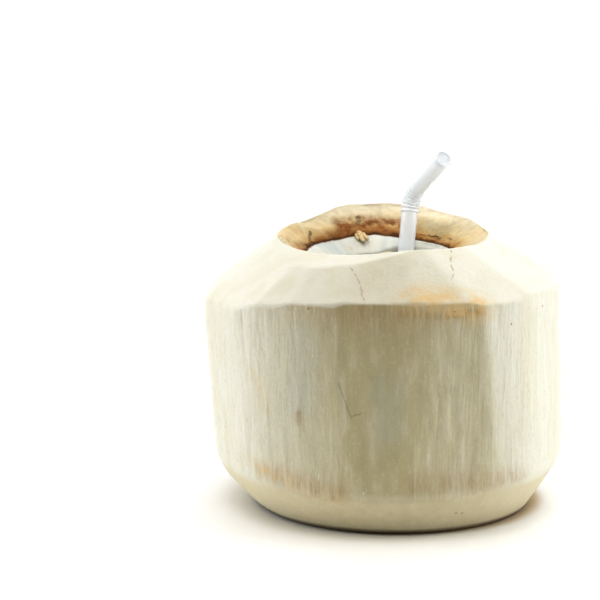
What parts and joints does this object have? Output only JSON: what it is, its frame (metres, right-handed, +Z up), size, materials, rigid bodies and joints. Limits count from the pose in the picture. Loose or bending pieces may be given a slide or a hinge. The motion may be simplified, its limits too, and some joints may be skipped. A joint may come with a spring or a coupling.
{
  "type": "green coconut",
  "caption": "Young green coconut peeled and trimmed to its pale husk, opened at the top for drinking, with its water and a white bendy straw.",
  "frame": {"origin": "centre of the flat base that the coconut rests on", "axes": "+Z up out of the base, -Y the front that the picture shows, +X to the right in the picture"},
  "size_m": [0.13, 0.1298, 0.1271],
  "materials": {
    "coconut": "knife-cut pale husk fibre, brown at the mouth, with smooth white flesh inside",
    "water": "clear, slightly cloudy coconut water",
    "straw": "thin translucent white polypropylene"
  },
  "bodies": {
    "root": {"coconut": "coconut", "coconut_water": "water", "straw": "straw"}
  },
  "joints": []
}
